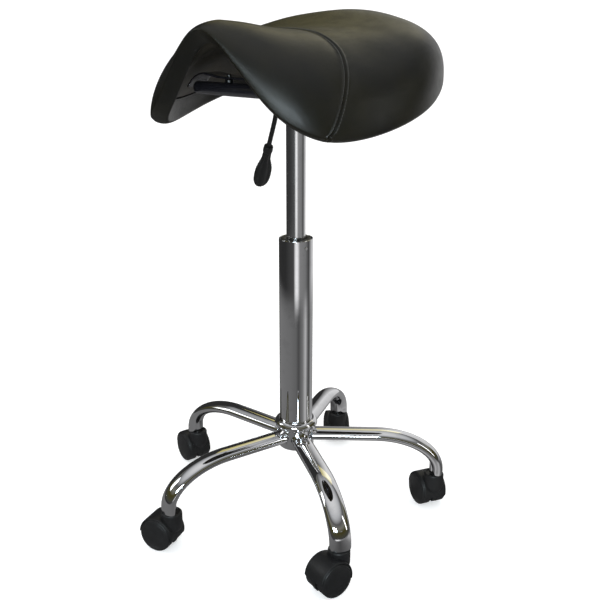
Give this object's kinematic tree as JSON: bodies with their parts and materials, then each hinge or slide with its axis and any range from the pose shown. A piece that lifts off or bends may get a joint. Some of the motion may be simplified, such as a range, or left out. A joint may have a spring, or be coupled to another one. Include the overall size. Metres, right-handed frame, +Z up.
{
  "type": "saddle stool",
  "caption": "Height-adjustable saddle stool with a split-seam leatherette saddle seat, side lever, gas column and star base on twin-wheel castors.",
  "frame": {"origin": "on the floor, on the column's axis", "axes": "+Z up along the column; the seat's raised front ridge points to -Y; +X is the sitter's left"},
  "size_m": [0.4648, 0.4904, 0.754],
  "materials": {
    "chrome": "polished",
    "bright_steel": "satin",
    "black_painted_steel": "gloss",
    "black_plastic": "matte",
    "rubber": "matte",
    "black_leatherette": "satin",
    "shell_plastic": "matte",
    "lining": "matte"
  },
  "bodies": {
    "base": {"hub": "chrome", "leg_tube_1": "chrome", "leg_tube_2": "chrome", "leg_tube_3": "chrome", "leg_tube_4": "chrome", "leg_tube_5": "chrome", "castor_socket_1": "chrome", "castor_socket_2": "chrome", "castor_socket_3": "chrome", "castor_socket_4": "chrome", "castor_socket_5": "chrome", "column_tube": "chrome", "guide_bush": "black_plastic", "bush_rivet": "chrome", "bearing_lower_race": "bright_steel"},
    "swivel": {"piston_rod": "bright_steel", "bearing_upper_race": "bright_steel", "rubber_buffer": "rubber", "retaining_clip": "bright_steel"},
    "seat": {"gas_cylinder": "bright_steel", "taper_socket": "black_painted_steel", "mechanism_plate": "black_painted_steel", "front_bracket": "black_painted_steel", "rear_bracket": "black_painted_steel", "lever_bracket": "black_painted_steel", "bracket_bolt_front_left": "bright_steel", "bracket_bolt_front_right": "bright_steel", "bracket_bolt_rear_left": "bright_steel", "bracket_bolt_rear_right": "bright_steel", "seat_shell": "shell_plastic", "seat_cushion": "black_leatherette", "under_lining": "lining"},
    "lever": {"lever_rod": "black_painted_steel", "lever_handle": "black_plastic"},
    "release_button": {"release_button": "black_plastic"},
    "castor_1": {"castor_hood_1": "black_plastic", "castor_stem_1": "bright_steel", "castor_axle_1": "bright_steel"},
    "wheel_left_1": {"castor_wheel_left_1": "black_plastic"},
    "wheel_right_1": {"castor_wheel_right_1": "black_plastic"},
    "castor_2": {"castor_hood_2": "black_plastic", "castor_stem_2": "bright_steel", "castor_axle_2": "bright_steel"},
    "wheel_left_2": {"castor_wheel_left_2": "black_plastic"},
    "wheel_right_2": {"castor_wheel_right_2": "black_plastic"},
    "castor_3": {"castor_hood_3": "black_plastic", "castor_stem_3": "bright_steel", "castor_axle_3": "bright_steel"},
    "wheel_left_3": {"castor_wheel_left_3": "black_plastic"},
    "wheel_right_3": {"castor_wheel_right_3": "black_plastic"},
    "castor_4": {"castor_hood_4": "black_plastic", "castor_stem_4": "bright_steel", "castor_axle_4": "bright_steel"},
    "wheel_left_4": {"castor_wheel_left_4": "black_plastic"},
    "wheel_right_4": {"castor_wheel_right_4": "black_plastic"},
    "castor_5": {"castor_hood_5": "black_plastic", "castor_stem_5": "bright_steel", "castor_axle_5": "bright_steel"},
    "wheel_left_5": {"castor_wheel_left_5": "black_plastic"},
    "wheel_right_5": {"castor_wheel_right_5": "black_plastic"}
  },
  "joints": [
    {"name": "seat_swivel", "type": "hinge", "parent": "base", "child": "swivel", "pos_m": [0, 0, 0.112], "axis": [0, 0, 1], "continuous": true},
    {"name": "seat_height", "type": "slide", "parent": "swivel", "child": "seat", "axis": [0, 0, 1], "range_m": [-0.165, 0]},
    {"name": "lever_lift", "type": "hinge", "parent": "seat", "child": "lever", "pos_m": [-0.03031, 0.0175, 0.663], "axis": [0.5, 0.866, 0], "range_deg": [0, 8], "stiffness_Nm_per_rad": 0.6, "springref_deg": -20.05},
    {"name": "button_press", "type": "slide", "parent": "seat", "child": "release_button", "axis": [0, 0, -1], "range_m": [0, 0.005]},
    {"name": "castor_swivel_1", "type": "hinge", "parent": "base", "child": "castor_1", "pos_m": [0.17637, 0.12814, 0.05], "axis": [0, 0, 1], "continuous": true},
    {"name": "wheel_spin_left_1", "type": "hinge", "parent": "castor_1", "child": "wheel_left_1", "pos_m": [0.16078, 0.13714, 0.025], "axis": [-0.5, -0.866, 0], "continuous": true},
    {"name": "wheel_spin_right_1", "type": "hinge", "parent": "castor_1", "child": "wheel_right_1", "pos_m": [0.16078, 0.13714, 0.025], "axis": [-0.5, -0.866, 0], "continuous": true},
    {"name": "castor_swivel_2", "type": "hinge", "parent": "base", "child": "castor_2", "pos_m": [-0.06737, 0.20733, 0.05], "axis": [0, 0, 1], "continuous": true},
    {"name": "wheel_spin_left_2", "type": "hinge", "parent": "castor_2", "child": "wheel_left_2", "pos_m": [-0.07964, 0.22049, 0.025], "axis": [-0.7314, -0.682, 0], "continuous": true},
    {"name": "wheel_spin_right_2", "type": "hinge", "parent": "castor_2", "child": "wheel_right_2", "pos_m": [-0.07964, 0.22049, 0.025], "axis": [-0.7314, -0.682, 0], "continuous": true},
    {"name": "castor_swivel_3", "type": "hinge", "parent": "base", "child": "castor_3", "pos_m": [-0.218, 0, 0.05], "axis": [0, 0, 1], "continuous": true},
    {"name": "wheel_spin_left_3", "type": "hinge", "parent": "castor_3", "child": "wheel_left_3", "pos_m": [-0.23521, 0.00526, 0.025], "axis": [-0.2924, -0.9563, 0], "continuous": true},
    {"name": "wheel_spin_right_3", "type": "hinge", "parent": "castor_3", "child": "wheel_right_3", "pos_m": [-0.23521, 0.00526, 0.025], "axis": [-0.2924, -0.9563, 0], "continuous": true},
    {"name": "castor_swivel_4", "type": "hinge", "parent": "base", "child": "castor_4", "pos_m": [-0.06737, -0.20733, 0.05], "axis": [0, 0, 1], "continuous": true},
    {"name": "wheel_spin_left_4", "type": "hinge", "parent": "castor_4", "child": "wheel_left_4", "pos_m": [-0.0849, -0.21138, 0.025], "axis": [0.225, -0.9744, 0], "continuous": true},
    {"name": "wheel_spin_right_4", "type": "hinge", "parent": "castor_4", "child": "wheel_right_4", "pos_m": [-0.0849, -0.21138, 0.025], "axis": [0.225, -0.9744, 0], "continuous": true},
    {"name": "castor_swivel_5", "type": "hinge", "parent": "base", "child": "castor_5", "pos_m": [0.17637, -0.12814, 0.05], "axis": [0, 0, 1], "continuous": true},
    {"name": "wheel_spin_left_5", "type": "hinge", "parent": "castor_5", "child": "wheel_left_5", "pos_m": [0.17171, -0.14552, 0.025], "axis": [0.9659, -0.2588, 0], "continuous": true},
    {"name": "wheel_spin_right_5", "type": "hinge", "parent": "castor_5", "child": "wheel_right_5", "pos_m": [0.17171, -0.14552, 0.025], "axis": [0.9659, -0.2588, 0], "continuous": true}
  ],
  "couplings": [
    {"joint": "button_press", "follows": "lever_lift", "m_per_rad": 0.035}
  ]
}
